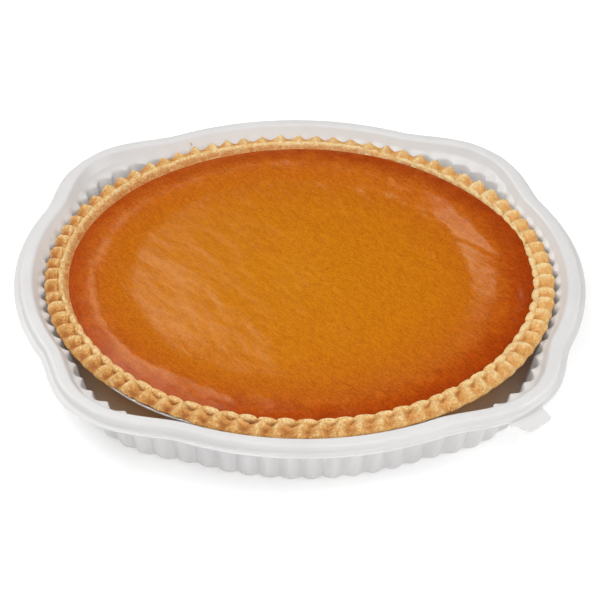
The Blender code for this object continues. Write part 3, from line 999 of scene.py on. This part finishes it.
# %% [markdown]
# ## Filling: baked pumpkin custard
# The face is a thin dried skin over moist custard. It is golden where the custard stayed soft and
# red-brown along the ring, where the oven caught it first, most of all on the right. The skin has
# fine pores, short fibres of pumpkin that all lie one way from the pouring, and dark specks of spice.
# They break its gloss into streaks and glints.

# %% Custard material
PORE_MM = 1.2
FIBRE_MM = 1.8
BLOTCH_MM = 14.0
SPECK_MM = 5.0
RAMP_REACH = 0.145


def baked_custard():
    material, tree, place = new_material("baked_pumpkin_custard")
    flat = add_node(tree, "ShaderNodeVectorMath", {0: place, 1: (1.0, 1.0, 0.0)}, operation="MULTIPLY")
    radius = add_node(tree, "ShaderNodeVectorMath", {0: flat.outputs["Vector"]}, operation="LENGTH")
    side = add_node(tree, "ShaderNodeVectorMath", {
        0: place, 1: (math.cos(PALE_SIDE), -math.sin(PALE_SIDE), 0.0)}, operation="DOT_PRODUCT")
    blotch = add_node(tree, "ShaderNodeTexNoise", {
        "Vector": place, "Scale": per_metre(BLOTCH_MM), "Detail": 5.0, "Roughness": 0.65})
    pores = add_node(tree, "ShaderNodeTexNoise", {
        "Vector": place, "Scale": per_metre(PORE_MM), "Detail": 3.0, "Roughness": 0.65})
    combed = add_node(tree, "ShaderNodeMapping", {
        "Vector": place, "Rotation": (0.0, 0.0, -FIBRE_TURN), "Scale": (FIBRE_LENGTHS, 1.0, 1.0)},
        vector_type="TEXTURE")
    fibres = add_node(tree, "ShaderNodeTexNoise", {
        "Vector": combed.outputs["Vector"], "Scale": per_metre(FIBRE_MM), "Detail": 2.0, "Roughness": 0.5})
    wander = add_node(tree, "ShaderNodeMapRange", {
        "Value": blotch.outputs["Fac"], "From Min": 0.25, "From Max": 0.75, "To Min": -7.0 * MM, "To Max": 7.0 * MM})
    lean = add_node(tree, "ShaderNodeMapRange", {
        "Value": side.outputs["Value"], "From Min": -0.13, "From Max": 0.13, "To Min": -4.0 * MM, "To Max": 5.0 * MM})
    astray = add_node(tree, "ShaderNodeMath", {0: wander.outputs["Result"], 1: lean.outputs["Result"]})
    reach = add_node(tree, "ShaderNodeMath", {0: radius.outputs["Value"], 1: astray.outputs["Value"]})
    ringed = add_node(tree, "ShaderNodeMapRange", {"Value": reach.outputs["Value"], "From Max": RAMP_REACH})
    bake = add_node(tree, "ShaderNodeValToRGB", {"Fac": ringed.outputs["Result"]}, stops=[
        (0.0, "#cb7b06"), (0.55, "#c87307"), (0.72, "#c2690b"), (0.80, "#c1640f"), (0.86, "#ba5a0e"),
        (0.91, "#af4b07"), (0.96, "#a43f03"), (1.0, "#9c3902")])
    mottle = add_node(tree, "ShaderNodeMath", {
        0: fibres.outputs["Fac"], 1: 0.5, 2: pores.outputs["Fac"]}, operation="MULTIPLY_ADD")
    uneven = add_node(tree, "ShaderNodeMapRange", {
        "Value": mottle.outputs["Value"], "From Min": 0.60, "From Max": 0.90})
    pulp = add_node(tree, "ShaderNodeMix", {
        "Factor": uneven.outputs["Result"], "A": linear("#989088"), "B": linear("#d6d7d9")}, data_type="RGBA")
    mottled = add_node(tree, "ShaderNodeMix", {
        "Factor": 0.55, "A": bake.outputs["Color"], "B": pulp.outputs["Result"]},
        data_type="RGBA", blend_type="OVERLAY")
    cells = add_node(tree, "ShaderNodeTexVoronoi", {"Vector": place, "Scale": per_metre(SPECK_MM)})
    spice = add_node(tree, "ShaderNodeMapRange", {
        "Value": cells.outputs["Distance"], "From Min": 0.05, "From Max": 0.13, "To Min": 0.6, "To Max": 0.0})
    spiced = add_node(tree, "ShaderNodeMix", {
        "Factor": spice.outputs["Result"], "A": mottled.outputs["Result"], "B": linear("#7c3a10")},
        data_type="RGBA")
    relief = add_node(tree, "ShaderNodeMath", {
        0: fibres.outputs["Fac"], 1: 1.2, 2: pores.outputs["Fac"]}, operation="MULTIPLY_ADD")
    bump = add_node(tree, "ShaderNodeBump", {
        "Height": relief.outputs["Value"], "Strength": 0.5, "Distance": 0.08 * MM})
    gloss = add_node(tree, "ShaderNodeMapRange", {
        "Value": pores.outputs["Fac"], "From Min": 0.35, "From Max": 0.65, "To Min": 0.15, "To Max": 0.20})
    shader = add_node(tree, "ShaderNodeBsdfPrincipled", {
        "Base Color": spiced.outputs["Result"], "Roughness": gloss.outputs["Result"],
        "IOR": 1.42, "Normal": bump.outputs["Normal"]})
    finish_material(tree, shader)
    return material


make_filling(baked_custard())

# %% [markdown]
# ## Floor
# The floor is a plain pale sheet, far larger than the pie, lit faintly from below as a photographer's
# light table is, so that the shadow under the tray stays soft. It is part of the studio and not of
# the object.

# %% Floor
FLOOR_SIZE = 6.0
FLOOR_GLOW = 0.2


def make_floor():
    material, tree, place = new_material("pale_studio_paper")
    fibre = add_node(tree, "ShaderNodeTexNoise", {"Vector": place, "Scale": per_metre(3.0)})
    tint = add_node(tree, "ShaderNodeMix", {
        "Factor": fibre.outputs["Fac"], "A": linear("#fbfbfb"), "B": linear("#ffffff")}, data_type="RGBA")
    shader = add_node(tree, "ShaderNodeBsdfPrincipled", {
        "Base Color": tint.outputs["Result"], "Roughness": 0.9, "Specular IOR Level": 0.1,
        "Emission Color": linear("#ffffff"), "Emission Strength": FLOOR_GLOW})
    finish_material(tree, shader)
    bm = bmesh.new()
    bmesh.ops.create_grid(bm, x_segments=1, y_segments=1, size=0.5 * FLOOR_SIZE)
    bmesh.ops.translate(bm, verts=bm.verts, vec=(0.0, 0.0, -0.2 * MM))
    mesh = bpy.data.meshes.new("floor")
    bm.to_mesh(mesh)
    bm.free()
    mesh.materials.append(material)
    floor = bpy.data.objects.new("floor", mesh)
    bpy.context.scene.collection.objects.link(floor)
    return floor


print("floor", make_floor().dimensions.x, "m wide")
